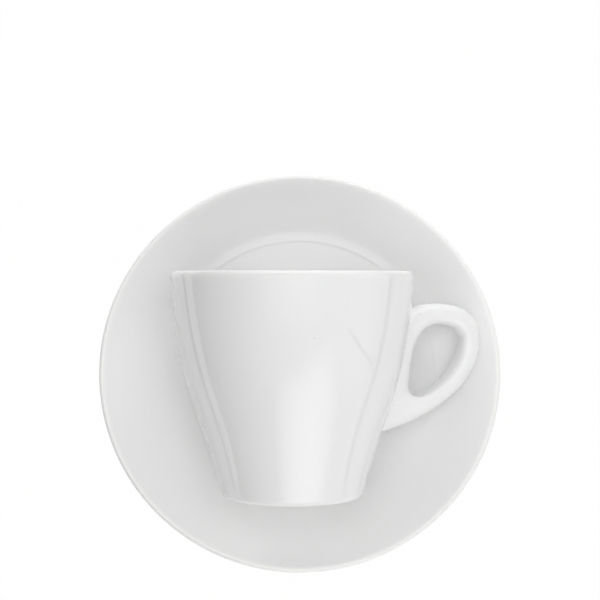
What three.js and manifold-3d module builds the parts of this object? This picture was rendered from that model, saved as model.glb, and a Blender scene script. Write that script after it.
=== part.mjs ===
// A white china coffee cup lying on its saucer, in millimetres, +Z up.
// The saucer stands on its foot ring with its centre at the origin. The cup lies on its side across the dish, its
// mouth towards +Y and its ear towards +X: its lip and its foot rest on the dish, and it has rolled until the ear
// rests on the wing.
import * as THREE from 'three';
import { mergeVertices } from 'three/addons/utils/BufferGeometryUtils.js';
import Module from 'manifold-3d';

// Saucer
const saucerRadius = 73;
const saucerHeight = 20.5;
const saucerWall = 3.4;
const wingSlope = THREE.MathUtils.degToRad(27);
const wingStart = 57.5;
const ringRadius = 50.2;
const ringSlope = THREE.MathUtils.degToRad(15);
const ringStep = 0.12;
const ringRun = 2;
const wellSlope = THREE.MathUtils.degToRad(8);
const wellStep = 1.1;
const wellStepRun = 1.6;
const seatFloorThickness = 3.2;
const saucerFootRadius = 39.5;
const saucerFootWidth = 3;
const saucerFootDraft = 0.8;

// Cup body
const cupHeight = 78.5;
const lipRadius = 42.35;
const cupWall = 3.2;
const baseRadius = 24.8;
const baseEdge = 2.4;
const lowerTaper = THREE.MathUtils.degToRad(14.4);
const upperTaper = THREE.MathUtils.degToRad(3.6);
const lowerPull = 28.5;
const upperPull = 39;
const cupFloor = 4.2;
const insideCorner = 9;
const cupRecess = 1.2;
const cupFootWidth = 3.6;
const cupFootDraft = 0.6;

// Ear, hung from its crown below the lip, with reaches out from the wall and pulls that set how full its curves are
const crownDrop = 11.4;
const crownReach = 12.3;
const crownPull = 11.8;
const rootDrop = 6.2;
const rootDepth = 3;
const earReach = 32;
const tipDrop = 13.2;
const tipPull = 8.4;
const tailPull = 15.6;
const earLength = 46.8;
const heelPull = 26.5;
const heelRise = THREE.MathUtils.degToRad(10);
const loopWidth = 7.45;
const loopThickness = 9.4;
const loopSquareness = 2.6;
const stripWidth = 6.1;
const stripFlare = 1.4;
const holeReach = 14.3;
const holeLength = 25.7;
const holeShoulder = 12.5;
const holeShoulderPull = 6.4;
const holeTipPull = 4.5;
const holeTailPull = 11.2;
const holeHeelPull = 5;
const holeCorner = 4;
const slipFillet = 2.4;

// Fits
const seatClearance = 0.8;
const slipGap = 0.3;
const restGap = 0.3;

// Where the cup lies on the dish: its foot so far in from the rim, its axis so far to one side
const footInset = 25.7;
const cupOffset = -2.55;
const mostTilt = THREE.MathUtils.degToRad(45);
const mostRoll = THREE.MathUtils.degToRad(60);

// Facets
const saucerSegments = 64;
const cupSegments = 56;
const curveSteps = 6;
const wallSteps = 14;
const lipSteps = 6;
const earSteps = 9;
const sectionSteps = 18;
const stepSteps = 3;
const gapSamples = 120;
const bisectSteps = 40;
const weldDistance = 1e-4;

// Glaze
const saucerGlaze = { color: 0xf1f1f0, roughness: 0.12 };
const cupGlaze = { color: 0xf3f3f2, roughness: 0.1 };
const earGlaze = { color: 0xf2f2f1, roughness: 0.11 };

const wasm = await Module();
wasm.setup();

const point = (r, z) => new THREE.Vector2(r, z);

// Points of a curve through a corner: it leaves the first point and meets the last one towards the corner.
function cornerCurve(start, corner, end, steps = curveSteps) {
  return new THREE.QuadraticBezierCurve(start, corner, end).getPoints(steps);
}

// A profile moved sideways by a distance, to its right as it runs.
function offsetProfile(points, distance) {
  return points.map((at, index) => {
    const before = points[Math.max(index - 1, 0)];
    const after = points[Math.min(index + 1, points.length - 1)];
    const run = point(after.x - before.x, after.y - before.y).normalize();
    return point(at.x + run.y * distance, at.y - run.x * distance);
  });
}

// The half round edge that joins two parallel faces, from one face's end to the other's, bulging to its right.
function roundEdge(start, end, steps = lipSteps) {
  const centre = start.clone().add(end).multiplyScalar(0.5);
  const arm = start.clone().sub(centre);
  const points = [];
  for (let step = 1; step < steps; step += 1) {
    const spoke = arm.clone().rotateAround(point(0, 0), (Math.PI * step) / steps);
    points.push(centre.clone().add(spoke));
  }
  return points;
}

// Reads a profile, sorted by one coordinate, at a value of that coordinate.
function readProfile(points, value, from, to) {
  const past = points.findIndex((at, index) => index > 0 && value <= at[from]);
  const upper = past > 0 ? past : points.length - 1;
  const [low, high] = [points[upper - 1], points[upper]];
  const share = (value - low[from]) / (high[from] - low[from]);
  return THREE.MathUtils.lerp(low[to], high[to], share);
}

// The value between two limits at which a rising measure passes zero.
function bisect(measure, low, high) {
  let [below, above] = [low, high];
  for (let step = 0; step < bisectSteps; step += 1) {
    const middle = (below + above) / 2;
    if (measure(middle) < 0) below = middle;
    else above = middle;
  }
  return (below + above) / 2;
}

// A closed mesh with shared corners and no empty triangles.
function weld(geometry) {
  const bare = geometry.clone();
  bare.deleteAttribute('normal');
  bare.deleteAttribute('uv');
  const merged = mergeVertices(bare, weldDistance);
  const corners = merged.index.array;
  const kept = [];
  for (let at = 0; at < corners.length; at += 3) {
    const [a, b, c] = [corners[at], corners[at + 1], corners[at + 2]];
    if (a !== b && b !== c && c !== a) kept.push(a, b, c);
  }
  merged.setIndex(kept);
  return merged;
}

// A profile that starts and ends on the axis, turned about +Z.
function turned(profile, segments) {
  return weld(new THREE.LatheGeometry(profile, segments).rotateX(Math.PI / 2));
}

function solidOf(geometry) {
  return new wasm.Manifold(new wasm.Mesh({
    numProp: 3,
    vertProperties: new Float32Array(geometry.attributes.position.array),
    triVerts: new Uint32Array(geometry.index.array),
  }));
}

function geometryOf(solid) {
  const mesh = solid.getMesh();
  const geometry = new THREE.BufferGeometry();
  geometry.setAttribute('position', new THREE.BufferAttribute(mesh.vertProperties, 3));
  geometry.setIndex(new THREE.BufferAttribute(mesh.triVerts, 1));
  return weld(geometry);
}

function china(name, geometry, glaze) {
  const material = new THREE.MeshStandardMaterial({ ...glaze, metalness: 0 });
  geometry.computeVertexNormals();
  const mesh = new THREE.Mesh(geometry, material);
  mesh.name = name;
  return mesh;
}

// The cup's outer wall, from the top of its base edge to the lip: one curve, steeper in taper at the foot.
const wallStart = point(baseRadius, baseEdge);
const wallEnd = point(lipRadius, cupHeight - cupWall / 2);
const outerWall = new THREE.CubicBezierCurve(
  wallStart,
  point(wallStart.x + lowerPull * Math.sin(lowerTaper), wallStart.y + lowerPull * Math.cos(lowerTaper)),
  point(wallEnd.x - upperPull * Math.sin(upperTaper), wallEnd.y - upperPull * Math.cos(upperTaper)),
  wallEnd,
).getPoints(wallSteps);

// The base edge rolls from the flat of the foot into the wall.
const baseCorner = point(baseRadius - baseEdge * Math.tan(lowerTaper), 0);
const footEdge = point(baseCorner.x - baseEdge, 0);
const baseRoll = cornerCurve(footEdge, baseCorner, wallStart);

const wallRadius = (height) => readProfile(outerWall, height, 'y', 'x');

// The foot ring and the shallow recess inside it, from the axis outwards.
const cupFootInner = footEdge.x - cupFootWidth;
const cupUnderside = [
  point(0, cupRecess),
  point(cupFootInner - cupFootDraft, cupRecess),
  point(cupFootInner, 0),
];

// The inside follows the wall at its thickness, and a wide corner runs it into the floor.
function cupInside() {
  const floorHeight = cupRecess + cupFloor;
  const inner = offsetProfile(outerWall, -cupWall);
  const upper = inner.filter((at) => at.y > floorHeight + insideCorner);
  const cornerRadius = readProfile(inner, floorHeight, 'y', 'x');
  const corner = point(cornerRadius, floorHeight);
  const floorEdge = point(cornerRadius - insideCorner, floorHeight);
  return [...upper.reverse(), ...cornerCurve(upper.at(-1), corner, floorEdge).slice(1), point(0, floorHeight)];
}

function cupBodyGeometry() {
  const inside = cupInside();
  const lip = roundEdge(wallEnd, inside[0]);
  return turned([...cupUnderside, ...baseRoll, ...outerWall.slice(1), ...lip, ...inside], cupSegments);
}

// The space that the cup's wall takes up, with the slip gap round it, for cutting the ear to the wall.
function wallCutter() {
  const skin = offsetProfile([...baseRoll, ...outerWall.slice(1)], slipGap);
  return turned([point(0, skin[0].y), ...skin, point(0, skin.at(-1).y)], cupSegments);
}

const crownHeight = cupHeight - crownDrop;

// A point of the ear: so far out from the wall, so far below the crown.
function earPoint(out, drop) {
  const height = crownHeight - drop;
  return point(wallRadius(height) + out, height);
}

// A curve that leaves one point and arrives at another in given directions, as full as its two pulls.
function sweep(start, leaving, startPull, end, arriving, endPull) {
  return new THREE.CubicBezierCurve(
    start,
    start.clone().addScaledVector(leaving, startPull),
    end.clone().addScaledVector(arriving, -endPull),
    end,
  );
}

const outward = point(1, 0);
const inward = point(-1, 0);
const downward = point(0, -1);

// The ear's outline, clockwise: upper root, crown, tip, tail, heel, and back up inside the wall.
function earOutline() {
  const upperRoot = earPoint(-rootDepth, rootDrop);
  const crown = earPoint(crownReach, 0);
  const tip = earPoint(earReach, tipDrop);
  const heel = earPoint(-rootDepth, earLength);
  const heelWay = inward.clone().rotateAround(point(0, 0), heelRise);
  const shoulder = point((upperRoot.x + crown.x) / 2, crown.y);
  const tail = sweep(tip, downward, tailPull, heel, heelWay, heelPull).getPoints(2 * earSteps);
  return [
    cornerCurve(upperRoot, shoulder, crown, earSteps),
    sweep(crown, outward, crownPull, tip, downward, tipPull).getPoints(earSteps),
    tail.slice(0, earSteps + 1),
    tail.slice(earSteps),
    new THREE.LineCurve(heel, upperRoot).getPoints(earSteps),
  ];
}

// The finger hole, in the same five stretches: shoulder, top, tail, tight lower corner, and the strip by the wall.
function fingerHole() {
  const stripTop = earPoint(stripWidth, loopWidth + holeShoulder);
  const stripFoot = stripWidth + stripFlare;
  const stripEnd = earPoint(stripFoot, loopWidth + holeLength - holeCorner);
  const stripWay = stripTop.clone().sub(stripEnd).normalize();
  const top = earPoint(holeReach, loopWidth);
  const tip = earPoint(earReach - loopWidth, tipDrop);
  const bottom = earPoint(stripFoot + holeCorner, loopWidth + holeLength);
  return [
    sweep(stripTop, stripWay, holeShoulderPull, top, outward, holeShoulderPull).getPoints(earSteps),
    sweep(top, outward, holeTipPull, tip, downward, holeTipPull).getPoints(earSteps),
    sweep(tip, downward, holeTailPull, bottom, inward, holeHeelPull).getPoints(earSteps),
    sweep(bottom, inward, holeCorner / 2, stripEnd, stripWay, holeCorner / 2).getPoints(earSteps),
    new THREE.LineCurve(stripEnd, stripTop).getPoints(earSteps),
  ];
}

const allButLast = (stretches) => stretches.flatMap((points) => points.slice(0, -1));

// A rounded wave: a circle's at a squareness of 2, nearer to a box's above it.
const squared = (wave) => Math.sign(wave) * Math.abs(wave) ** (2 / loopSquareness);

// How much the slip that fills the corner between ear and wall adds to each side of the ear, so far from the wall.
function slipSpread(out) {
  const into = Math.max(slipFillet - Math.max(out, 0), 0);
  return slipFillet - Math.sqrt(slipFillet ** 2 - into ** 2);
}

// The ear lofted round its hole: at each place a rounded section spans from the outline to the hole.
function earLoft() {
  const outer = allButLast(earOutline());
  const inner = allButLast(fingerHole());
  const corners = [];
  outer.forEach((edge, place) => {
    const middle = edge.clone().add(inner[place]).multiplyScalar(0.5);
    const half = edge.clone().sub(middle);
    for (let step = 0; step < sectionSteps; step += 1) {
      const turn = (2 * Math.PI * step) / sectionSteps;
      const at = middle.clone().addScaledVector(half, squared(Math.cos(turn)));
      const side = loopThickness / 2 + slipSpread(at.x - wallRadius(at.y));
      corners.push(at.x, side * squared(Math.sin(turn)), at.y);
    }
  });
  const faces = [];
  const corner = (place, step) => (place % outer.length) * sectionSteps + (step % sectionSteps);
  outer.forEach((_, place) => {
    for (let step = 0; step < sectionSteps; step += 1) {
      const [a, b] = [corner(place, step), corner(place + 1, step)];
      const [c, d] = [corner(place + 1, step + 1), corner(place, step + 1)];
      faces.push(a, b, c, a, c, d);
    }
  });
  const loft = new THREE.BufferGeometry();
  loft.setAttribute('position', new THREE.Float32BufferAttribute(corners, 3));
  loft.setIndex(faces);
  return loft;
}

function earGeometry() {
  return geometryOf(solidOf(earLoft()).subtract(solidOf(wallCutter())));
}

// The saucer's upper face, worked out from its lip inwards: wing, bend, faint ring, well, step, seat.
const wingEnd = point(
  saucerRadius - (saucerWall / 2) * (1 + Math.sin(wingSlope)),
  saucerHeight - (saucerWall / 2) * (1 - Math.cos(wingSlope)),
);

// The point at a lesser radius on a straight slope that rises to a given point.
function downSlope(from, radius, slope) {
  return point(radius, from.y - (from.x - radius) * Math.tan(slope));
}

const wingFoot = downSlope(wingEnd, wingStart, wingSlope);
const ringEdge = ringRadius + ringRun / 2;
const bendCorner = downSlope(wingFoot, (wingStart + ringEdge) / 2, wingSlope);
const ringOuter = downSlope(bendCorner, ringEdge, ringSlope);
const ringInner = downSlope(ringOuter, ringEdge - ringRun, ringSlope).sub(point(0, ringStep));
const seatRadius = readProfile(baseRoll, wellStep, 'y', 'x') + seatClearance;
const wellEdge = seatRadius + wellStepRun;
const wellCorner = downSlope(ringInner, (ringInner.x + wellEdge) / 2, ringSlope);
const wellStart = downSlope(wellCorner, wellEdge, wellSlope);
const seatHeight = wellStart.y - wellStep;
const stepCorner = point(wellStart.x - wellStepRun / 2, wellStart.y);

const seatStep = cornerCurve(point(seatRadius, seatHeight), stepCorner, wellStart, stepSteps);
const well = cornerCurve(wellStart, wellCorner, ringInner).slice(1);
const bend = cornerCurve(ringOuter, bendCorner, wingFoot);
const dish = [...seatStep, ...well, ...bend, wingEnd];
const saucerTop = [point(0, seatHeight), ...dish];

// The foot ring stands under the well, and the underside follows the upper face at the wall's thickness.
function saucerGeometry() {
  const footInner = saucerFootRadius - saucerFootWidth;
  const saucerRecess = seatHeight - seatFloorThickness;
  const under = offsetProfile(dish, saucerWall);
  const inside = under.filter((at) => at.x > seatRadius && at.x < footInner - saucerFootDraft);
  const outside = under.filter((at) => at.x > saucerFootRadius + saucerFootDraft);
  const footTop = (radius) => readProfile(under, radius, 'x', 'y');
  const profile = [
    point(0, saucerRecess),
    point(seatRadius, saucerRecess),
    ...inside,
    point(footInner - saucerFootDraft, footTop(footInner - saucerFootDraft)),
    point(footInner, 0),
    point(saucerFootRadius, 0),
    point(saucerFootRadius + saucerFootDraft, footTop(saucerFootRadius + saucerFootDraft)),
    ...outside,
    ...roundEdge(outside.at(-1), wingEnd),
    ...[...saucerTop].reverse(),
  ];
  return turned(profile, saucerSegments);
}

const dishHeight = (radius) => readProfile(saucerTop, radius, 'x', 'y');

// The cup's frame when its foot centre is at a height, its mouth lifted by a tilt and its ear rolled down.
function cupFrame(height, tilt, roll) {
  const turn = new THREE.Euler(tilt - Math.PI / 2, 0, roll);
  return new THREE.Matrix4().makeRotationFromEuler(turn).setPosition(cupOffset, footInset - saucerRadius, height);
}

// The least height of some points over the dish, once the cup is placed.
function leastGap(points, frame) {
  const heights = points.map((at) => {
    const placed = at.clone().applyMatrix4(frame);
    return placed.z - dishHeight(Math.hypot(placed.x, placed.y));
  });
  return Math.min(...heights);
}

// The lowest line of the lying cup, finely spaced: its lower half near the foot, its upper half near the lip.
function lowestLine(part) {
  const line = new THREE.SplineCurve([...baseRoll, ...outerWall.slice(1)]).getPoints(gapSamples);
  return line.filter(part).map((at) => new THREE.Vector3(0, at.x, at.y));
}

// The lying pose: tilted until foot and lip are equally close to the dish, lowered to the rest gap, and rolled
// until the ear is that close to the wing.
function lyingPose(earMesh) {
  const footLine = lowestLine((at) => at.y < cupHeight / 2);
  const lipLine = lowestLine((at) => at.y >= cupHeight / 2);
  const lifted = cupHeight;
  const lean = (tilt) => {
    const frame = cupFrame(lifted, tilt, 0);
    return leastGap(lipLine, frame) - leastGap(footLine, frame);
  };
  const tilt = bisect(lean, 0, mostTilt);
  const height = lifted + restGap - leastGap(footLine, cupFrame(lifted, tilt, 0));
  const corners = earMesh.geometry.attributes.position;
  const cornerAt = (_, index) => new THREE.Vector3().fromBufferAttribute(corners, index);
  const earPoints = Array.from({ length: corners.count }, cornerAt);
  const drop = (roll) => restGap - leastGap(earPoints, cupFrame(height, tilt, roll));
  const roll = bisect(drop, 0, mostRoll);
  return { height, tilt, roll };
}

const saucer = china('saucer', saucerGeometry(), saucerGlaze);
const cupBody = china('cup_body', cupBodyGeometry(), cupGlaze);
const cupHandle = china('cup_handle', earGeometry(), earGlaze);

const pose = lyingPose(cupHandle);
const cup = new THREE.Group();
cup.add(cupBody, cupHandle);
cup.position.set(cupOffset, footInset - saucerRadius, pose.height);
cup.rotation.set(pose.tilt - Math.PI / 2, 0, pose.roll);

const coffeeCupAndSaucer = new THREE.Group();
coffeeCupAndSaucer.add(saucer, cup);

export default coffeeCupAndSaucer;
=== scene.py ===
"""Dresses a white china coffee cup, lying on its saucer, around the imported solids.

The china's sizes and the camera's place are in millimetres. The floor, the lamps and the flags are in metres.
"""

import logging
import math
from dataclasses import dataclass, field
from enum import Enum
from typing import Any, Union

import bpy
import numpy as np
from mathutils import Euler, Matrix, Vector

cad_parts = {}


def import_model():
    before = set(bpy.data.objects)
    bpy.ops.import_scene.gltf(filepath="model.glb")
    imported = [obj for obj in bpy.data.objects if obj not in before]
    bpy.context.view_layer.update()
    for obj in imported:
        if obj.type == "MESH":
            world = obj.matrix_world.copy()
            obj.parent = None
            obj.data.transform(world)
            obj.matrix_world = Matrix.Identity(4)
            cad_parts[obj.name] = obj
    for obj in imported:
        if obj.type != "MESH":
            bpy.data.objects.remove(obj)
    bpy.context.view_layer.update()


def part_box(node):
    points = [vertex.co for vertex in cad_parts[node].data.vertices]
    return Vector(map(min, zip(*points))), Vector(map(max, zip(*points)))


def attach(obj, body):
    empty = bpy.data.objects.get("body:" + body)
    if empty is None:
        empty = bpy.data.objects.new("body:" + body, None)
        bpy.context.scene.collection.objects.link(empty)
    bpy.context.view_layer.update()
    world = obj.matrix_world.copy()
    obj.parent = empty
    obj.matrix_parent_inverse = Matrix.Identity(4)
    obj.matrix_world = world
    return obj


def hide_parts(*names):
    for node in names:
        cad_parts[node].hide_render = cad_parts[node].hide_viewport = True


LOG = logging.getLogger("coffee_cup")
MM = 0.001
WHITE = (1.0, 1.0, 1.0, 1.0)
BLACK = (0.0, 0.0, 0.0, 1.0)
# Length of a sweep's end vectors, as a share of the radius, that makes a quarter round.
QUARTER_PULL = 0.5523
# Height in millimetres up to which a foot ring counts as flat.
FOOT_FLAT = 0.02
# The value about which a noise node swings.
NOISE_MIDDLE = 0.5
# Brings the middle of a lamp's dome of light to 1.
DOME_PEAK = 16.0

# One point, or one point in each row, as radius and height.
Profile = np.ndarray
Colour = tuple[float, float, float]


def corner_curve(start: Profile, corner: Profile, end: Profile, steps: int) -> Profile:
    """Runs a curve from one point to another towards a corner.

    Args:
        start: Radius and height of the first point.
        corner: The point that both ends head for.
        end: Radius and height of the last point.
        steps: How many stretches the curve is cut into.

    Returns:
        The points of the curve, both ends included.
    """
    t = np.linspace(0.0, 1.0, steps + 1)[:, None]
    return (1 - t) ** 2 * start + 2 * t * (1 - t) * corner + t**2 * end


def sweep(start: Profile, leaving: Profile, end: Profile, arriving: Profile, steps: int) -> Profile:
    """Runs a curve that leaves and arrives along given vectors, as full as they are long.

    Args:
        start: The first point.
        leaving: The vector along which the curve leaves it.
        end: The last point.
        arriving: The vector along which the curve arrives there.
        steps: How many stretches the curve is cut into.

    Returns:
        The points of the curve, both ends included.
    """
    t = np.linspace(0.0, 1.0, steps + 1)[:, None]
    ends = (1 - t) ** 3 * start + t**3 * end
    return ends + 3 * t * (1 - t) ** 2 * (start + leaving) + 3 * t**2 * (1 - t) * (end - arriving)


def straight(start: Profile, end: Profile, steps: int) -> Profile:
    """Gives evenly spaced points from one point to another, both included."""
    return start + np.linspace(0.0, 1.0, steps + 1)[:, None] * (end - start)


def moved_aside(profile: Profile, distance: Union[float, np.ndarray]) -> Profile:
    """Moves a profile sideways, to its right as it runs.

    Args:
        profile: The points to move.
        distance: How far they move, for all or for each, or to the left where it is negative.

    Returns:
        The moved points.
    """
    run = np.gradient(profile, axis=0)
    run /= np.linalg.norm(run, axis=1)[:, None]
    return profile + np.reshape(distance, (-1, 1)) * np.stack([run[:, 1], -run[:, 0]], axis=1)


def round_edge(start: Profile, end: Profile, steps: int) -> Profile:
    """Joins two parallel faces by a half round, bulging to its right.

    Args:
        start: The end of the first face.
        end: The start of the second face.
        steps: How many stretches the half round is cut into.

    Returns:
        The points between the two ends.
    """
    centre = (start + end) / 2
    arm = start - centre
    turn = np.pi * np.arange(1, steps) / steps
    across = np.array([-arm[1], arm[0]])
    return centre + np.cos(turn)[:, None] * arm + np.sin(turn)[:, None] * across


def down_slope(start: Profile, radius: float, slope: float) -> Profile:
    """Finds the point at a lesser radius on a straight slope that rises to a given point."""
    return np.array([radius, start[1] - (start[0] - radius) * math.tan(slope)])


def eased(corners: list[tuple[float, float, float]], steps: int) -> Profile:
    """Rounds the corners of a broken line.

    Args:
        corners: Radius, height and the length that the rounding takes off each side, for each corner.
        steps: How many stretches each rounding is cut into.

    Returns:
        The points of the eased line.
    """
    points = np.array([corner[:2] for corner in corners])
    made = [points[:1]]
    for index in range(1, len(points) - 1):
        before, at, after = points[index - 1 : index + 2]
        length = corners[index][2]
        back = at + (before - at) * length / np.linalg.norm(before - at)
        ahead = at + (after - at) * length / np.linalg.norm(after - at)
        made.append(corner_curve(back, at, ahead, steps))
    made.append(points[-1:])
    return np.concatenate(made)


def circle(angle: np.ndarray) -> np.ndarray:
    """Gives the points of a circle of radius 1 at some angles, at height 0."""
    return np.stack([np.cos(angle), np.sin(angle), np.zeros(len(angle))], axis=1)


def in_scene(name: str, data: bpy.types.ID) -> bpy.types.Object:
    """Makes an object and links it to the scene.

    Args:
        name: The object's name.
        data: Its mesh, lamp or camera.

    Returns:
        The object.
    """
    made = bpy.data.objects.new(name, data)
    bpy.context.scene.collection.objects.link(made)
    return made


def ramp(values: np.ndarray, low: float, high: float) -> np.ndarray:
    """Eases from 0 at a low value to 1 at a high one."""
    share = np.clip((values - low) / (high - low), 0.0, 1.0)
    return share * share * (3 - 2 * share)


class Coating(Enum):
    """The marks that tell, over a piece, how its glaze lies."""

    PLACE = "own_place"
    THIN = "glaze_thin"
    POOLED = "glaze_pooled"
    BARE = "glaze_bare"


@dataclass
class Surface:
    """A closed surface in a piece's own frame, in millimetres, with its glaze marks."""

    points: np.ndarray
    faces: list[tuple[int, ...]]
    thin: np.ndarray
    pooled: np.ndarray
    bare: np.ndarray

    def piece(self, name: str, place: Matrix) -> bpy.types.Object:
        """Makes the surface into an object whose place is in its mesh.

        Args:
            name: The object's name.
            place: The piece's own frame in the row's frame, in metres.

        Returns:
            The new object, smooth all over.
        """
        own = self.points * MM
        placed = own @ np.array(place.to_3x3()).T + np.array(place.translation)
        mesh = bpy.data.meshes.new(name)
        mesh.from_pydata(placed.tolist(), [], self.faces)
        places = mesh.attributes.new(Coating.PLACE.value, "FLOAT_VECTOR", "POINT")
        places.data.foreach_set("vector", own.ravel())
        marks = {Coating.THIN: self.thin, Coating.POOLED: self.pooled, Coating.BARE: self.bare}
        for mark, values in marks.items():
            mesh.attributes.new(mark.value, "FLOAT", "POINT").data.foreach_set("value", values)
        mesh.shade_smooth()
        mesh.validate()
        return in_scene(name, mesh)


@dataclass
class Wheel:
    """Turns profiles about their axis, as a potter's wheel does."""

    segments: int = 288
    least_thin: float = 0.1
    sharpest_thin: float = 0.55
    least_pool: float = 0.03
    sharpest_pool: float = 0.25
    spread: int = 2

    def bends(self, profile: Profile) -> np.ndarray:
        """Measures how sharply a profile bends.

        Args:
            profile: Radius and height of each point, outer side to the right.

        Returns:
            The bend at each point, in radians to the millimetre, positive where the surface is convex.
        """
        run = np.diff(profile, axis=0)
        length = np.linalg.norm(run, axis=1)
        heading = np.unwrap(np.arctan2(run[:, 1], run[:, 0]))
        bend = np.zeros(len(profile))
        bend[1:-1] = np.diff(heading) / ((length[:-1] + length[1:]) / 2)
        kernel = np.ones(2 * self.spread + 1) / (2 * self.spread + 1)
        return np.convolve(bend, kernel, mode="same")

    def turn(self, profile: Profile, bare: np.ndarray) -> Surface:
        """Turns a profile that starts and ends on the axis.

        Args:
            profile: Radius and height of each point, outer side to the right.
            bare: How far each point is without glaze, from 0 to 1.

        Returns:
            The closed surface.
        """
        bend = self.bends(profile)
        thin = ramp(bend, self.least_thin, self.sharpest_thin)
        pooled = ramp(-bend, self.least_pool, self.sharpest_pool)
        marks = np.stack([thin, pooled, bare], axis=1)
        angle = 2 * np.pi * np.arange(self.segments) / self.segments
        rings = profile[1:-1, :1, None] * circle(angle) + profile[1:-1, 1:, None] * np.array([0.0, 0.0, 1.0])
        poles = np.array([[0.0, 0.0, profile[0, 1]], [0.0, 0.0, profile[-1, 1]]])
        points = np.concatenate([rings.reshape(-1, 3), poles])
        marked = np.concatenate([np.repeat(marks[1:-1], self.segments, axis=0), marks[[0, -1]]])
        return Surface(points, self.faces(len(profile) - 2), *marked.T)

    def faces(self, rings: int) -> list[tuple[int, ...]]:
        """Lists the faces between rings of points, closed by a pole at each end.

        Args:
            rings: How many rings there are.

        Returns:
            Corner numbers of each face, counter-clockwise as seen from outside.
        """
        first, last = rings * self.segments, rings * self.segments + 1
        found: list[tuple[int, ...]] = []
        for step in range(self.segments):
            after = (step + 1) % self.segments
            found.append((first, after, step))
            for ring in range(rings - 1):
                low, high = ring * self.segments, (ring + 1) * self.segments
                found.append((low + step, low + after, high + after, high + step))
            top = (rings - 1) * self.segments
            found.append((top + step, top + after, last))
        return found


@dataclass
class Saucer:
    """The saucer: a seat for the cup's foot, a well with a faint ring, a straight wing and a foot ring."""

    radius: float = 73.0
    height: float = 20.5
    wall: float = 3.4
    lip_wall: float = 2.4
    wing_slope: float = math.radians(25.95)
    wing_start: float = 57.5
    ring_radius: float = 50.2
    ring_slope: float = math.radians(15)
    ring_step: float = 0.035
    ring_bead: float = 0.03
    ring_run: float = 2.0
    well_slope: float = math.radians(8)
    well_step: float = 1.1
    well_step_run: float = 1.6
    well_step_pull: float = 0.6
    seat_radius: float = 25.0
    seat_floor: float = 3.2
    foot_radius: float = 39.5
    foot_width: float = 3.0
    foot_draft: float = 0.8
    foot_ease: float = 0.7
    foot_fillet: float = 2.2
    steps: int = 20
    wheel: Wheel = field(default_factory=Wheel)

    def upper_face(self) -> tuple[Profile, float]:
        """Works out the upper face from the lip inwards.

        Returns:
            The points from the seat's edge to the top of the lip, and the seat's height.
        """
        half = self.lip_wall / 2
        wing_end = np.array([
            self.radius - half * (1 + math.sin(self.wing_slope)),
            self.height - half * (1 - math.cos(self.wing_slope)),
        ])
        wing_foot = down_slope(wing_end, self.wing_start, self.wing_slope)
        ring_edge = self.ring_radius + self.ring_run / 2
        bend_corner = down_slope(wing_foot, (self.wing_start + ring_edge) / 2, self.wing_slope)
        ring_outer = down_slope(bend_corner, ring_edge, self.ring_slope)
        ring_inner = down_slope(ring_outer, ring_edge - self.ring_run, self.ring_slope)
        ring_inner[1] -= self.ring_step
        well_edge = self.seat_radius + self.well_step_run
        well_corner = down_slope(ring_inner, (ring_inner[0] + well_edge) / 2, self.ring_slope)
        well_start = down_slope(well_corner, well_edge, self.well_slope)
        seat = np.array([self.seat_radius, well_start[1] - self.well_step])
        along = np.array([1.0, math.tan(self.ring_slope)]) * self.ring_run / 3
        step_pull = self.well_step_run * self.well_step_pull
        level = np.array([step_pull, 0.0])
        rise = np.array([math.cos(self.well_slope), math.sin(self.well_slope)]) * step_pull
        bead = np.array([0.0, self.ring_bead])
        swell = np.sin(np.linspace(0.0, np.pi, self.steps + 1))[:, None] ** 2 * bead
        return np.concatenate([
            sweep(seat, level, well_start, rise, self.steps // 2)[:-1],
            corner_curve(well_start, well_corner, ring_inner, 2 * self.steps)[:-1],
            (sweep(ring_inner, along, ring_outer, along, self.steps) + swell)[:-1],
            corner_curve(ring_outer, bend_corner, wing_foot, self.steps)[:-1],
            straight(wing_foot, wing_end, self.steps),
        ]), seat[1]

    def underside(self, upper: Profile, recess: float) -> Profile:
        """Follows the upper face at the wall's thickness, with a foot ring under the well.

        Args:
            upper: The upper face, from the seat's edge outwards.
            recess: The height of the underside inside the foot ring.

        Returns:
            The points from the axis out to the lip.
        """
        thickness = np.interp(upper[:, 0], [self.wing_start, upper[-1, 0]], [self.wall, self.lip_wall])
        below = moved_aside(upper, thickness)
        well_below = below[below[:, 0] > self.foot_radius + 3 * self.foot_fillet]
        inner = self.foot_radius - self.foot_width
        foot_sides = [inner - self.foot_draft, self.foot_radius + self.foot_draft]
        foot_top = np.interp(foot_sides, below[:, 0], below[:, 1])
        foot = eased([
            (0.0, recess, 0.0),
            (self.seat_radius, recess, self.foot_fillet),
            (foot_sides[0], foot_top[0], self.foot_fillet),
            (inner, 0.0, self.foot_ease),
            (self.foot_radius, 0.0, self.foot_ease),
            (foot_sides[1], foot_top[1], self.foot_fillet),
            (*well_below[0], 0.0),
        ], self.steps // 3)
        return np.concatenate([foot[:-1], below[below[:, 0] >= foot[-1, 0]]])

    def build(self) -> bpy.types.Object:
        """Turns the saucer and sets it on the row's origin.

        Returns:
            The saucer.
        """
        upper, seat_height = self.upper_face()
        under = self.underside(upper, seat_height - self.seat_floor)
        lip = round_edge(under[-1], upper[-1], self.steps)
        seat = straight(np.array([0.0, seat_height]), upper[0], self.steps)
        profile = np.concatenate([under, lip, upper[::-1], seat[-2::-1]])
        turned = self.wheel.turn(profile, bare_foot(profile, self.foot_ease))
        return turned.piece("saucer_china", Matrix.Identity(4))


def bare_foot(profile: Profile, ease: float) -> np.ndarray:
    """Marks the flat of a foot ring, which is wiped clean of glaze before firing.

    Args:
        profile: A turned piece's points, with the foot's flat at height 0.
        ease: How high the foot's edges are rounded.

    Returns:
        1 on the flat, falling to 0 within the edge's rounding.
    """
    return 1 - ramp(profile[:, 1], FOOT_FLAT, ease / 2)


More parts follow.
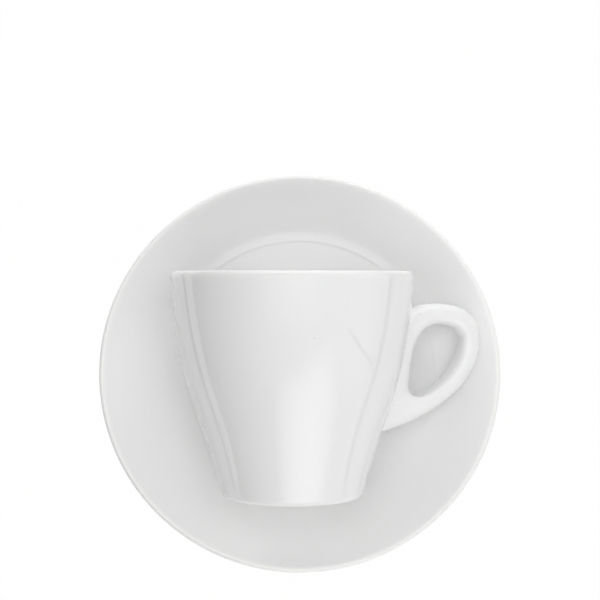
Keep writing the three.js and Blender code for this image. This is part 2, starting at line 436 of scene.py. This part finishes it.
@dataclass
class CupBody:
    """The cup without its ear: a wall that tapers more towards the foot, a lip and a shallow foot ring."""

    height: float = 78.5
    lip_radius: float = 42.35
    lip_run: float = 2.4
    wall: float = 3.2
    base_radius: float = 24.8
    base_edge: float = 2.4
    lower_taper: float = math.radians(14.4)
    upper_taper: float = math.radians(3.6)
    lower_pull: float = 28.5
    upper_pull: float = 39.0
    floor: float = 4.2
    inside_corner: float = 9.0
    recess: float = 1.2
    foot_width: float = 3.6
    foot_draft: float = 0.6
    foot_ease: float = 0.5
    wall_steps: int = 90
    steps: int = 18
    wheel: Wheel = field(default_factory=Wheel)

    def outer_wall(self) -> Profile:
        """Runs one curve from the top of the base edge to the lip.

        Returns:
            The points of the wall's outside, foot first.
        """
        start = np.array([self.base_radius, self.base_edge])
        end = np.array([self.lip_radius, self.height - self.wall / 2])
        leaving = self.lower_pull * np.array([math.sin(self.lower_taper), math.cos(self.lower_taper)])
        arriving = self.upper_pull * np.array([math.sin(self.upper_taper), math.cos(self.upper_taper)])
        return sweep(start, leaving, end, arriving, self.wall_steps)

    def inside(self, outer: Profile) -> Profile:
        """Follows the outer wall at its thickness, with a wide corner into the floor.

        Args:
            outer: The outer wall from foot to lip.

        Returns:
            The points from the lip down to the axis.
        """
        level = self.recess + self.floor
        inner = moved_aside(outer, -self.wall)
        upper = inner[inner[:, 1] > level + self.inside_corner]
        corner = np.array([np.interp(level, inner[:, 1], inner[:, 0]), level])
        edge = corner - np.array([self.inside_corner, 0.0])
        bend = corner_curve(upper[0], corner, edge, self.steps)
        return np.concatenate([upper[:0:-1], bend, straight(edge, np.array([0.0, level]), self.steps)[1:]])

    def underside(self) -> Profile:
        """Shapes the recess, the foot ring and the base edge.

        Returns:
            The points from the axis to the start of the wall.
        """
        corner = self.base_radius - self.base_edge * math.tan(self.lower_taper)
        outer = corner - self.base_edge
        inner = outer - self.foot_width
        foot = eased([
            (0.0, self.recess, 0.0),
            (inner - self.foot_draft, self.recess, self.foot_ease),
            (inner, 0.0, self.foot_ease),
            (outer, 0.0, 0.0),
        ], self.steps // 3)
        roll_start = np.array([outer, 0.0])
        roll_end = np.array([self.base_radius, self.base_edge])
        roll = corner_curve(roll_start, np.array([corner, 0.0]), roll_end, self.steps)
        return np.concatenate([foot[:-1], roll])

    def lip(self, outer: Profile, wall_end: Profile, inside_start: Profile) -> Profile:
        """Rounds the lip: drawn out down the outside and tight on the inside.

        Args:
            outer: The outer wall, up to where the rounding starts.
            wall_end: The end that the outer wall would have under a half round.
            inside_start: The first point of the inside.

        Returns:
            The points between the outer wall and the inside.
        """
        half_round = round_edge(wall_end, inside_start, self.steps)
        inner_half = half_round[self.steps // 2 - 1 :]
        upwards = (outer[-1] - outer[-2]) / np.linalg.norm(outer[-1] - outer[-2])
        leaving = QUARTER_PULL * self.lip_run * upwards
        arriving = QUARTER_PULL * (inside_start - wall_end) / 2
        rolled = sweep(outer[-1], leaving, inner_half[0], arriving, self.steps)
        return np.concatenate([rolled[1:-1], inner_half])

    def build(self, place: Matrix) -> bpy.types.Object:
        """Turns the cup.

        Args:
            place: The cup's own frame, its axis along Z and its foot at 0.

        Returns:
            The cup's body.
        """
        wall = self.outer_wall()
        inside = self.inside(wall)
        outer = wall[wall[:, 1] < self.height - self.lip_run]
        lip = self.lip(outer, wall[-1], inside[0])
        profile = np.concatenate([self.underside()[:-1], outer, lip, inside])
        return self.wheel.turn(profile, bare_foot(profile, self.foot_ease)).piece("cup_china", place)


@dataclass
class Ear:
    """The handle: a loop of rounded section round a teardrop finger hole, stuck on with slip."""

    crown_drop: float = 11.4
    crown_reach: float = 12.3
    crown_pull: float = 11.8
    root_drop: float = 6.2
    root_depth: float = 3.0
    reach: float = 32.0
    tip_drop: float = 13.2
    tip_pull: float = 8.4
    tail_pull: float = 15.6
    length: float = 46.8
    heel_pull: float = 26.5
    heel_rise: float = math.radians(10)
    loop_width: float = 7.45
    thickness: float = 9.4
    squareness: float = 2.6
    strip_width: float = 6.1
    strip_flare: float = 1.4
    hole_reach: float = 14.3
    hole_length: float = 25.7
    hole_shoulder: float = 12.5
    hole_shoulder_pull: float = 6.4
    hole_tip_pull: float = 4.5
    hole_tail_pull: float = 11.2
    hole_heel_pull: float = 5.0
    hole_corner: float = 4.0
    slip_fillet: float = 2.4
    least_level: float = 0.4
    set_in: float = 1.2
    steps: int = 44
    section: int = 96
    section_trace: int = 4001
    evening: int = 5
    body: CupBody = field(default_factory=CupBody)

    def __post_init__(self) -> None:
        """Reads the wall that the ear is stuck to."""
        self.wall = self.body.outer_wall()
        self.slope = np.gradient(self.wall[:, 0], self.wall[:, 1])

    def wall_radius(self, height: np.ndarray) -> np.ndarray:
        """Gives the wall's radius at some heights."""
        return np.interp(height, self.wall[:, 1], self.wall[:, 0])

    def at(self, out: float, drop: float) -> Profile:
        """Gives the point so far out from the wall and so far below the crown."""
        height = self.body.height - self.crown_drop - drop
        return np.array([self.wall_radius(height) + out, height])

    def outline(self) -> list[Profile]:
        """Runs the outer outline clockwise.

        Returns:
            Its stretches: upper root to crown, tip, tail, heel, and back up inside the wall.
        """
        root, crown = self.at(-self.root_depth, self.root_drop), self.at(self.crown_reach, 0)
        tip, heel = self.at(self.reach, self.tip_drop), self.at(-self.root_depth, self.length)
        shoulder = np.array([(root[0] + crown[0]) / 2, crown[1]])
        heel_way = -np.array([math.cos(self.heel_rise), math.sin(self.heel_rise)])
        out, down = np.array([1.0, 0.0]), np.array([0.0, -1.0])
        tail = sweep(tip, self.tail_pull * down, heel, self.heel_pull * heel_way, 2 * self.steps)
        swell = np.sin(np.linspace(0, np.pi, self.steps + 1))[:, None] * (self.strip_width - self.root_depth)
        return [
            corner_curve(root, shoulder, crown, self.steps),
            sweep(crown, self.crown_pull * out, tip, self.tip_pull * down, self.steps),
            tail[: self.steps + 1],
            tail[self.steps :],
            straight(heel, root, self.steps) - swell * out,
        ]

    def hole(self) -> list[Profile]:
        """Runs the finger hole in as many stretches as the outline.

        Returns:
            Its stretches: shoulder, top, tail, tight lower corner, and the strip by the wall.
        """
        strip_top = self.at(self.strip_width, self.loop_width + self.hole_shoulder)
        strip_foot = self.strip_width + self.strip_flare
        strip_end = self.at(strip_foot, self.loop_width + self.hole_length - self.hole_corner)
        strip_way = (strip_top - strip_end) / np.linalg.norm(strip_top - strip_end)
        top = self.at(self.hole_reach, self.loop_width)
        tip = self.at(self.reach - self.loop_width, self.tip_drop)
        bottom = self.at(strip_foot + self.hole_corner, self.loop_width + self.hole_length)
        out, down = np.array([1.0, 0.0]), np.array([0.0, -1.0])
        shoulder_pull, corner_pull = self.hole_shoulder_pull, self.hole_corner / 2
        return [
            sweep(strip_top, shoulder_pull * strip_way, top, shoulder_pull * out, self.steps),
            sweep(top, self.hole_tip_pull * out, tip, self.hole_tip_pull * down, self.steps),
            sweep(tip, self.hole_tail_pull * down, bottom, -self.hole_heel_pull * out, self.steps),
            sweep(bottom, -corner_pull * out, strip_end, corner_pull * strip_way, self.steps),
            straight(strip_end, strip_top, self.steps),
        ]

    def loop(self, stretches: list[Profile]) -> Profile:
        """Joins stretches into one closed line and evens out the joins.

        Args:
            stretches: Lines that follow on from each other.

        Returns:
            The points of the closed line.
        """
        line = np.concatenate([stretch[:-1] for stretch in stretches])
        for _ in range(self.evening):
            line = line / 2 + (np.roll(line, 1, axis=0) + np.roll(line, -1, axis=0)) / 4
        return line

    def section_turns(self) -> np.ndarray:
        """Spaces points evenly round the rounded section.

        Returns:
            Cosine and sine of the section at each point, as columns.
        """
        turn = np.linspace(0, 2 * np.pi, self.section_trace)
        waves = np.stack([np.cos(turn), np.sin(turn)], axis=1)
        waves = np.sign(waves) * np.abs(waves) ** (2 / self.squareness)
        way = np.concatenate([[0.0], np.cumsum(np.linalg.norm(np.diff(waves, axis=0), axis=1))])
        even = np.interp(np.arange(self.section) / self.section * way[-1], way, turn)
        waves = np.stack([np.cos(even), np.sin(even)], axis=1)
        return np.sign(waves) * np.abs(waves) ** (2 / self.squareness)

    def loft(self) -> np.ndarray:
        """Spans a rounded section from the outline to the hole at each place.

        Returns:
            Points by place and by turn, in the cup's own frame.
        """
        outer, inner = self.loop(self.outline()), self.loop(self.hole())
        middle, half = (outer + inner) / 2, (outer - inner) / 2
        waves = self.section_turns()
        flat = middle[:, None, :] + half[:, None, :] * waves[None, :, :1]
        side = np.broadcast_to(self.thickness / 2 * waves[None, :, 1], flat.shape[:2])
        return np.stack([flat[..., 0], side, flat[..., 1]], axis=-1)

    def stuck_on(self, points: np.ndarray) -> tuple[np.ndarray, np.ndarray]:
        """Spreads the ear's foot into a fillet of slip on the wall, and stops it just under the wall's skin.

        Args:
            points: Points by place and by turn.

        Returns:
            The moved points, and each point's distance from the wall.
        """
        along = np.roll(points, -1, axis=0) - np.roll(points, 1, axis=0)
        around = np.roll(points, -1, axis=1) - np.roll(points, 1, axis=1)
        normal = np.cross(along, around)
        normal /= np.linalg.norm(normal, axis=-1, keepdims=True)
        normal *= np.sign((normal * (points - points.mean(axis=1, keepdims=True))).sum())
        reach = np.hypot(points[..., 0], points[..., 1])
        gap = reach - self.wall_radius(points[..., 2])
        wall_slope = np.interp(points[..., 2], self.wall[:, 1], self.slope)
        wall_normal = np.stack([points[..., 0] / reach, points[..., 1] / reach, -wall_slope], axis=-1)
        wall_normal /= np.linalg.norm(wall_normal, axis=-1, keepdims=True)
        level = normal - (normal * wall_normal).sum(axis=-1, keepdims=True) * wall_normal
        level /= np.maximum(np.linalg.norm(level, axis=-1, keepdims=True), self.least_level)
        into = np.clip(self.slip_fillet - gap, 0.0, self.slip_fillet)
        spread = self.slip_fillet - np.sqrt(self.slip_fillet**2 - into**2)
        moved = points + spread[..., None] * level
        target = self.wall_radius(moved[..., 2]) + np.maximum(gap, -self.set_in)
        moved[..., :2] *= (target / np.hypot(moved[..., 0], moved[..., 1]))[..., None]
        return moved, gap

    def build(self, place: Matrix) -> bpy.types.Object:
        """Lofts the ear and sticks it to the wall.

        Args:
            place: The cup's own frame.

        Returns:
            The ear.
        """
        points, gap = self.stuck_on(self.loft())
        places, turns = points.shape[:2]
        corner = np.arange(places * turns).reshape(places, turns)
        after, beside = np.roll(corner, -1, axis=0), np.roll(corner, -1, axis=1)
        across = np.roll(after, -1, axis=1)
        faces = np.stack([corner, after, across, beside], axis=-1).reshape(-1, 4)
        none = np.zeros(places * turns)
        pooled = 1 - ramp(gap.ravel(), 0.0, self.slip_fillet)
        return Surface(points.reshape(-1, 3), faces.tolist(), none, pooled, none).piece("cup_ear", place)


Operand = Union["Wire", float]


class Wire:
    """A shader socket that takes part in Python expressions."""

    def __init__(self, bench: "Bench", socket: bpy.types.NodeSocket) -> None:
        """Wraps one output socket of the bench's nodes."""
        self.bench = bench
        self.socket = socket

    def math(self, operation: str, first: Operand, second: Operand) -> "Wire":
        """Adds a Math node for two operands.

        Args:
            operation: The node's operation.
            first: The upper operand.
            second: The lower operand.

        Returns:
            The result.
        """
        return self.bench.node("ShaderNodeMath", "Value", {"operation": operation}, {0: first, 1: second})

    def __add__(self, other: Operand) -> "Wire":
        """Adds."""
        return self.math("ADD", self, other)

    __radd__ = __add__

    def __sub__(self, other: Operand) -> "Wire":
        """Takes the other away."""
        return self.math("SUBTRACT", self, other)

    def __rsub__(self, other: Operand) -> "Wire":
        """Takes this away from the other."""
        return self.math("SUBTRACT", other, self)

    def __mul__(self, other: Operand) -> "Wire":
        """Multiplies."""
        return self.math("MULTIPLY", self, other)

    __rmul__ = __mul__

    def __lt__(self, other: Operand) -> "Wire":
        """Gives 1 where this is less."""
        return self.math("LESS_THAN", self, other)

    def __gt__(self, other: Operand) -> "Wire":
        """Gives 1 where this is greater."""
        return self.math("GREATER_THAN", self, other)


class Bench:
    """A node tree that is being wired."""

    def __init__(self, tree: bpy.types.NodeTree) -> None:
        """Clears the tree."""
        self.tree = tree
        self.tree.nodes.clear()

    @classmethod
    def of_material(cls, name: str) -> tuple[bpy.types.Material, "Bench"]:
        """Starts a material.

        Args:
            name: The material's name.

        Returns:
            The new material and the bench of its nodes.
        """
        material = bpy.data.materials.new(name)
        material.use_nodes = True
        return material, cls(material.node_tree)

    @staticmethod
    def find(sockets: Any, key: Union[str, int]) -> bpy.types.NodeSocket:
        """Finds a socket by number, by identifier or by name.

        Args:
            sockets: A node's inputs or outputs.
            key: The number, identifier or name.

        Returns:
            The socket.
        """
        if isinstance(key, int):
            return sockets[key]
        named = [socket for socket in sockets if socket.identifier == key]
        return named[0] if named else sockets[key]

    def node(
        self, kind: str, output: str, settings: dict[str, Any], sockets: dict[Union[str, int], Any]
    ) -> Wire:
        """Adds a node, sets it up and wires it.

        Args:
            kind: The node's type.
            output: The output that is wanted.
            settings: Properties of the node, set before its sockets.
            sockets: Values or wires for its inputs.

        Returns:
            The wanted output, or the first input of a node without outputs.
        """
        node = self.tree.nodes.new(kind)
        for name, value in settings.items():
            setattr(node, name, value)
        for key, value in sockets.items():
            socket = self.find(node.inputs, key)
            if isinstance(value, Wire):
                self.tree.links.new(value.socket, socket)
            else:
                socket.default_value = value
        return Wire(self, self.find(node.outputs, output) if node.outputs else node.inputs[0])

    def mark(self, mark: Coating, output: str = "Fac") -> Wire:
        """Reads one of the glaze marks."""
        return self.node("ShaderNodeAttribute", output, {"attribute_name": mark.value}, {})

    def noise(self, place: Wire, scale: float, detail: float) -> Wire:
        """Gives smooth noise about 0.5, with so many bumps to the metre."""
        return self.node("ShaderNodeTexNoise", "Fac", {}, {"Vector": place, "Scale": scale, "Detail": detail})

    def blend(self, share: Operand, first: Any, second: Any) -> Wire:
        """Mixes two colours.

        Args:
            share: The second colour's share.
            first: The first colour, as a wire or as written.
            second: The second colour, likewise.

        Returns:
            The mixed colour.
        """
        settings = {"data_type": "RGBA", "clamp_factor": True}
        return self.node("ShaderNodeMix", "Result_Color", settings, {
            "Factor_Float": share,
            "A_Color": first if isinstance(first, Wire) else (*first, 1.0),
            "B_Color": second if isinstance(second, Wire) else (*second, 1.0),
        })


@dataclass(frozen=True)
class Glaze:
    """A clear gloss glaze on white china, wiped off at the foot."""

    name: str
    tone: Colour = (0.9, 0.9, 0.896)
    deep_tone: Colour = (0.888, 0.89, 0.89)
    thin_tone: Colour = (0.93, 0.927, 0.918)
    pooled_tone: Colour = (0.87, 0.877, 0.877)
    bare_tone: Colour = (0.76, 0.745, 0.715)
    speck_tone: Colour = (0.76, 0.75, 0.73)
    pooled_share: float = 0.7
    gloss: float = 0.025
    gloss_change: float = 0.03
    gloss_scale: float = 110.0
    gloss_detail: float = 4.0
    bare_roughness: float = 0.55
    refraction: float = 1.5
    mottle_scale: float = 55.0
    mottle_detail: float = 3.0
    wave_scale: float = 42.0
    wave_detail: float = 1.0
    wave_height: float = 0.00001
    peel_scale: float = 700.0
    peel_height: float = 0.0000012
    grain_scale: float = 5200.0
    grain_share: float = 0.25
    grain_height: float = 0.00002
    fine_detail: float = 2.0
    speck_scale: float = 150.0
    speck_size: float = 0.045
    speck_share: float = 0.965

    def material(self) -> bpy.types.Material:
        """Wires the glaze.

        Returns:
            The new material.
        """
        material, bench = Bench.of_material(self.name)
        place = bench.mark(Coating.PLACE, "Vector")
        bare = bench.mark(Coating.BARE)
        shader = bench.node("ShaderNodeBsdfPrincipled", "BSDF", {}, {
            "Base Color": self.colour(bench, place, bare),
            "Roughness": self.roughness(bench, place, bare),
            "IOR": self.refraction,
            "Normal": self.relief(bench, place, bare),
        })
        bench.node("ShaderNodeOutputMaterial", "", {}, {"Surface": shader})
        return material

    def colour(self, bench: Bench, place: Wire, bare: Wire) -> Wire:
        """Mixes the china's tones: cloudy in itself, lighter where the glaze is thin, greyer where it pools.

        Args:
            bench: The material's nodes.
            place: The place on the piece.
            bare: The mark of bare china.

        Returns:
            The colour.
        """
        clouds = bench.noise(place, self.mottle_scale, self.mottle_detail)
        cloudy = bench.blend(clouds, self.tone, self.deep_tone)
        edged = bench.blend(bench.mark(Coating.THIN), cloudy, self.thin_tone)
        pooled = bench.blend(bench.mark(Coating.POOLED) * self.pooled_share, edged, self.pooled_tone)
        specked = bench.blend(self.specks(bench, place), pooled, self.speck_tone)
        grain = bench.noise(place, self.grain_scale, self.fine_detail)
        grainy = 1 - self.grain_share + self.grain_share * grain
        return bench.blend(bare * grainy, specked, self.bare_tone)

    def specks(self, bench: Bench, place: Wire) -> Wire:
        """Marks the few pin-sized specks that fire into any glaze.

        Args:
            bench: The material's nodes.
            place: The place on the piece.

        Returns:
            1 on a speck.
        """
        cells = {"Vector": place, "Scale": self.speck_scale}
        near = bench.node("ShaderNodeTexVoronoi", "Distance", {}, cells)
        chance = bench.node("ShaderNodeTexVoronoi", "Color", {}, cells)
        draw = bench.node("ShaderNodeSeparateColor", "Red", {}, {"Color": chance})
        return (near < self.speck_size) * (draw > self.speck_share)

    def roughness(self, bench: Bench, place: Wire, bare: Wire) -> Wire:
        """Varies the gloss a little, and takes it off where the china is bare.

        Args:
            bench: The material's nodes.
            place: The place on the piece.
            bare: The mark of bare china.

        Returns:
            The roughness.
        """
        change = bench.noise(place, self.gloss_scale, self.gloss_detail) - NOISE_MIDDLE
        glossy = self.gloss + self.gloss_change * change
        return glossy + bare * (self.bare_roughness - self.gloss)

    def relief(self, bench: Bench, place: Wire, bare: Wire) -> Wire:
        """Gives the glaze its slow waves and faint orange peel, and bare china its grain.

        Args:
            bench: The material's nodes.
            place: The place on the piece.
            bare: The mark of bare china.

        Returns:
            The normal.
        """
        waves = bench.noise(place, self.wave_scale, self.wave_detail)
        rolling = bench.node("ShaderNodeBump", "Normal", {}, {"Height": waves, "Distance": self.wave_height})
        peel = bench.noise(place, self.peel_scale, self.fine_detail)
        peeled = bench.node("ShaderNodeBump", "Normal", {}, {
            "Height": peel, "Distance": self.peel_height, "Normal": rolling,
        })
        grain = bench.noise(place, self.grain_scale, self.fine_detail) * bare
        return bench.node("ShaderNodeBump", "Normal", {}, {
            "Height": grain, "Distance": self.grain_height, "Normal": peeled,
        })


@dataclass(frozen=True)
class Softbox:
    """A rectangular lamp that faces the object, dims towards its edges and isn't seen by the camera.

    Angles are in degrees and lengths in metres. A lamp that isn't mirrored lights the china but doesn't show
    in its gloss.
    """

    name: str
    azimuth: float
    elevation: float
    distance: float
    width: float
    height: float
    radiance: float
    softness: float = 0.6
    mirrored: bool = True

    def hang(self) -> None:
        """Hangs the lamp and turns it towards the object."""
        lamp = bpy.data.lights.new(self.name, "AREA")
        lamp.shape = "RECTANGLE"
        lamp.size, lamp.size_y = self.width, self.height
        lamp.energy = self.radiance * math.pi * self.width * self.height
        lamp.use_nodes = True
        bench = Bench(lamp.node_tree)
        place = bench.node("ShaderNodeNewGeometry", "Parametric", {}, {})
        across, along = (bench.node("ShaderNodeSeparateXYZ", axis, {}, {"Vector": place}) for axis in "XY")
        dome = DOME_PEAK * across * (1.0 - across) * along * (1.0 - along)
        softened = dome.math("POWER", dome, self.softness)
        glow = bench.node("ShaderNodeEmission", "Emission", {}, {"Color": softened})
        bench.node("ShaderNodeOutputLight", "", {}, {"Surface": glow})
        hung = in_scene(self.name, lamp)
        turn, lift = math.radians(self.azimuth), math.radians(self.elevation)
        way = Vector((math.cos(turn) * math.cos(lift), math.sin(turn) * math.cos(lift), math.sin(lift)))
        hung.location = way * self.distance
        hung.rotation_euler = (-way).to_track_quat("-Z", "Y").to_euler()
        hung.visible_camera = False
        hung.visible_glossy = self.mirrored


@dataclass(frozen=True)
class Flag:
    """A black card beyond the picture's edge, bent round the object, that only shows as a line in the gloss.

    Both edges are a radius and a height in metres. They run from one azimuth to another, in degrees.
    """

    name: str
    near_edge: tuple[float, float]
    far_edge: tuple[float, float]
    start: float
    end: float
    far_cover: float = 1.0
    lean: float = 0.0
    steps: int = 48

    def stand(self) -> None:
        """Sets up the card, its far edge turned by the lean and covered less if it fades."""
        angle = np.radians(np.linspace(self.start, self.end, self.steps + 1))
        edges = []
        for (radius, height), lean in ((self.near_edge, 0.0), (self.far_edge, math.radians(self.lean))):
            edges.append(circle(angle + lean) * radius + np.array([0.0, 0.0, height]))
        after = self.steps + 1
        mesh = bpy.data.meshes.new(self.name)
        faces = [(step, step + 1, after + step + 1, after + step) for step in range(self.steps)]
        mesh.from_pydata(np.concatenate(edges).tolist(), [], faces)
        covers = np.repeat([1.0, self.far_cover], after)
        mesh.attributes.new(self.name, "FLOAT", "POINT").data.foreach_set("value", covers)
        material, bench = Bench.of_material(self.name)
        cover = bench.node("ShaderNodeAttribute", "Fac", {"attribute_name": self.name}, {})
        black = bench.node("ShaderNodeBsdfDiffuse", "BSDF", {}, {"Color": BLACK})
        open_air = bench.node("ShaderNodeBsdfTransparent", "BSDF", {}, {})
        veil = bench.node("ShaderNodeMixShader", "Shader", {}, {0: cover, 1: open_air, 2: black})
        bench.node("ShaderNodeOutputMaterial", "", {}, {"Surface": veil})
        mesh.materials.append(material)
        card = in_scene(self.name, mesh)
        card.visible_camera = card.visible_diffuse = card.visible_shadow = False


@dataclass
class Studio:
    """The white floor, the soft light and the camera, which looks down on the saucer from in front."""

    floor_radius: float = 3.0
    floor_segments: int = 96
    floor_tone: Colour = (0.9, 0.9, 0.9)
    floor_glow: float = 0.985
    camera_place: tuple[float, float, float] = (0.1, -84.1, 535.1)
    camera_pitch: float = math.radians(78.0)
    lens: float = 86.02
    sensor: float = 36.0
    clip_start: float = 0.01
    clip_end: float = 20.0
    softboxes: tuple[Softbox, ...] = (
        Softbox(
            "canopy", azimuth=270.0, elevation=74.0, distance=1.0,
            width=1.7, height=1.3, radiance=0.27, softness=0.3,
        ),
        Softbox(
            "top_box", azimuth=270.0, elevation=86.0, distance=1.0,
            width=1.1, height=0.9, radiance=1.15,
        ),
        Softbox(
            "top_fill", azimuth=270.0, elevation=86.0, distance=1.1,
            width=1.2, height=1.0, radiance=1.28, mirrored=False,
        ),
        Softbox(
            "front_box", azimuth=286.0, elevation=32.0, distance=1.0,
            width=1.1, height=0.7, radiance=2.2, softness=0.8,
        ),
        Softbox(
            "front_fill", azimuth=270.0, elevation=10.0, distance=1.0,
            width=1.0, height=0.3, radiance=1.8, mirrored=False,
        ),
        Softbox(
            "right_box", azimuth=0.0, elevation=26.0, distance=1.0,
            width=1.5, height=0.9, radiance=0.45, softness=0.4,
        ),
        Softbox(
            "right_fill", azimuth=0.0, elevation=34.0, distance=1.05,
            width=1.5, height=0.6, radiance=0.55, softness=0.4, mirrored=False,
        ),
        Softbox(
            "left_fill", azimuth=180.0, elevation=30.0, distance=1.0,
            width=0.9, height=0.36, radiance=1.1, mirrored=False,
        ),
        Softbox(
            "back_fill", azimuth=90.0, elevation=10.0, distance=1.0,
            width=2.4, height=0.36, radiance=3.3, mirrored=False,
        ),
        Softbox(
            "back_high", azimuth=90.0, elevation=36.0, distance=1.0,
            width=1.8, height=0.4, radiance=2.0, softness=0.3,
        ),
    )
    flags: tuple[Flag, ...] = (
        Flag("near_flag", near_edge=(0.148, 0.001), far_edge=(0.164, 0.001), start=95.0, end=265.0),
        Flag("right_flag", near_edge=(0.25, 0.001), far_edge=(0.36, 0.001), start=-90.0, end=90.0),
        Flag("left_flag", near_edge=(0.275, 0.001), far_edge=(0.9, 0.001), start=110.0, end=250.0),
        Flag("left_wall", near_edge=(0.9, 0.0), far_edge=(0.9, 0.8), start=110.0, end=250.0, far_cover=0.0),
        Flag("lamp_stand", near_edge=(0.48, 0.0), far_edge=(0.48, 0.33), start=-19.05, end=-17.75, lean=-6.0),
    )

    def seen_white(self, bench: Bench) -> Wire:
        """Tells the rays that show the background: to the camera, in gloss and through glass.

        Args:
            bench: The nodes that ask.

        Returns:
            1 for such a ray.
        """
        kinds = ("Is Camera Ray", "Is Glossy Ray", "Is Transmission Ray")
        camera, glossy, clear = (bench.node("ShaderNodeLightPath", kind, {}, {}) for kind in kinds)
        return 1.0 - (1.0 - camera) * (1.0 - glossy) * (1.0 - clear)

    def lay_floor(self) -> None:
        """Lays a round white floor that keeps the object's shadow."""
        angle = 2 * np.pi * np.arange(self.floor_segments) / self.floor_segments
        rim = circle(angle) * self.floor_radius
        mesh = bpy.data.meshes.new("floor")
        mesh.from_pydata(rim.tolist(), [], [tuple(range(self.floor_segments))])
        material, bench = Bench.of_material("white_floor")
        matt = bench.node("ShaderNodeBsdfDiffuse", "BSDF", {}, {"Color": (*self.floor_tone, 1.0)})
        white = bench.node("ShaderNodeEmission", "Emission", {}, {"Color": WHITE, "Strength": 1.0})
        share = self.seen_white(bench) * self.floor_glow
        mixed = bench.node("ShaderNodeMixShader", "Shader", {}, {0: share, 1: matt, 2: white})
        bench.node("ShaderNodeOutputMaterial", "", {}, {"Surface": mixed})
        mesh.materials.append(material)
        in_scene("floor", mesh)

    def surround(self) -> None:
        """Sets a white surround that is seen, also in the gloss, and leaves the light to the lamps."""
        world = bpy.data.worlds.new("white_surround")
        world.use_nodes = True
        bpy.context.scene.world = world
        bench = Bench(world.node_tree)
        strength = self.seen_white(bench)
        sky = bench.node("ShaderNodeBackground", "Background", {}, {"Color": WHITE, "Strength": strength})
        bench.node("ShaderNodeOutputWorld", "", {}, {"Surface": sky})

    def place_camera(self) -> None:
        """Sets up the camera at the photograph's angle."""
        camera = bpy.data.cameras.new("camera")
        camera.lens, camera.sensor_width = self.lens, self.sensor
        camera.clip_start, camera.clip_end = self.clip_start, self.clip_end
        mounted = in_scene("camera", camera)
        mounted.location = Vector(self.camera_place) * MM
        mounted.rotation_euler = Euler((math.pi / 2 - self.camera_pitch, 0.0, 0.0))
        bpy.context.scene.camera = mounted

    def build(self) -> None:
        """Sets up the whole studio."""
        bpy.context.scene.view_settings.view_transform = "Standard"
        self.lay_floor()
        self.surround()
        self.place_camera()
        for softbox in self.softboxes:
            softbox.hang()
        for flag in self.flags:
            flag.stand()


@dataclass
class CoffeeSet:
    """The cup and its saucer, with the lying cup's place on the dish."""

    foot: tuple[float, float, float] = (-2.55, -47.3, 32.3159)
    tilt: float = math.radians(12.8036)
    roll: float = math.radians(19.9205)
    saucer: Saucer = field(default_factory=Saucer)
    body: CupBody = field(default_factory=CupBody)
    ear: Ear = field(default_factory=Ear)

    def lying(self) -> Matrix:
        """Gives the cup's own frame: laid on its side, its mouth lifted and its ear rolled down."""
        spin = Matrix.Rotation(self.tilt - math.pi / 2, 4, "X") @ Matrix.Rotation(self.roll, 4, "Z")
        return Matrix.Translation(Vector(self.foot) * MM) @ spin

    def dress(self, piece: bpy.types.Object, body: str, node: str, glaze: Glaze) -> None:
        """Glazes a piece and puts it in its solid's place.

        Args:
            piece: The piece.
            body: The body that it rides on.
            node: The solid that it stands for.
            glaze: Its finish.
        """
        piece.data.materials.append(glaze.material())
        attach(piece, body)
        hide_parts(node)
        lowest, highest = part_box(node)
        corners = np.array([vertex.co for vertex in piece.data.vertices])
        off = max(np.abs(corners.min(0) - lowest).max(), np.abs(corners.max(0) - highest).max()) / MM
        faces = len(piece.data.polygons)
        LOG.info("%s: %d faces on %s, box within %.2f mm of %s", piece.name, faces, body, off, node)

    def build(self) -> None:
        """Makes and dresses the three pieces."""
        lying = self.lying()
        self.dress(self.saucer.build(), "saucer", "saucer", Glaze("saucer_glaze"))
        self.dress(self.body.build(lying), "cup", "cup_body", Glaze("cup_glaze"))
        self.dress(self.ear.build(lying), "cup", "cup_handle", Glaze("ear_glaze"))


def main() -> None:
    """Loads the frame, builds the coffee set and the studio, and notes the sizes."""
    logging.basicConfig(level=logging.INFO, format="%(name)s: %(message)s")
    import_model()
    CoffeeSet().build()
    Studio().build()
    bpy.context.view_layer.update()


if __name__ == "__main__":
    main()
